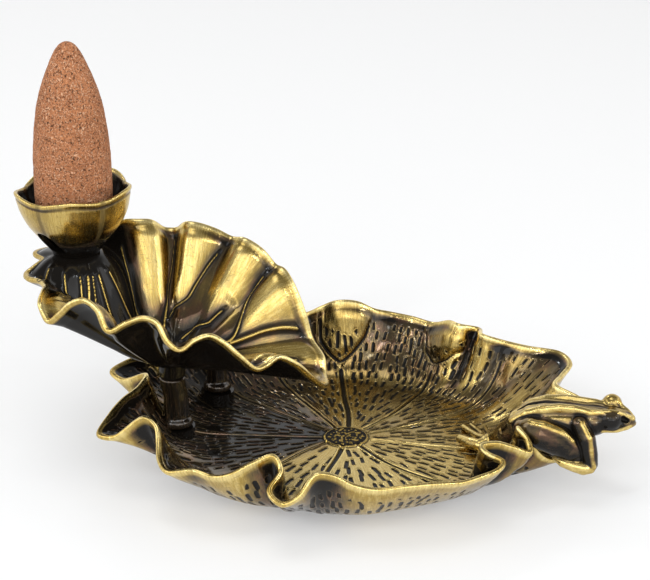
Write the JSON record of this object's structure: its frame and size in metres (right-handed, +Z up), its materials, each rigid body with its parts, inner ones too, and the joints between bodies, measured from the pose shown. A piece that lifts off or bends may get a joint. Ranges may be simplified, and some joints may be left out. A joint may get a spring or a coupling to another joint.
{
  "type": "backflow incense burner",
  "caption": "Cast bronze incense burner: a wide lotus leaf dish, a smaller leaf raised on stems that holds a bud cup with a lift-out incense cone, and a frog on the rim.",
  "frame": {"origin": "on the table, below the middle of the lower leaf's seed disc, at the centre of the foot pad's underside", "axes": "+X along the longest extent, from the raised leaf towards the frog; -Y towards the viewer of the picture; +Z up"},
  "size_m": [0.1085, 0.0765, 0.0734],
  "materials": {
    "aged_bronze": "antique bronze: dark glossy lacquer in the hollows, brushed gold on the raised edges",
    "dark_bronze": "near-black glossy bronze lacquer",
    "incense": "matt pressed incense powder with pale and dark specks",
    "pad": "black foam rubber",
    "screw": "plain zinc-plated steel"
  },
  "bodies": {
    "burner": {"lotus_leaf_dish": "aged_bronze", "upper_lotus_leaf": "aged_bronze", "front_stem": "dark_bronze", "rear_stem": "dark_bronze", "bud_cup": "aged_bronze", "frog": "aged_bronze", "foot_pad": "pad", "front_stem_screw": "screw", "rear_stem_screw": "screw", "frog_screw": "screw", "cup_screw": "screw"},
    "cone": {"incense_cone": "incense"}
  },
  "joints": [
    {"name": "cone_lift", "type": "slide", "parent": "burner", "child": "cone", "axis": [0, 0, 1], "range_m": [0, 0.05]}
  ]
}
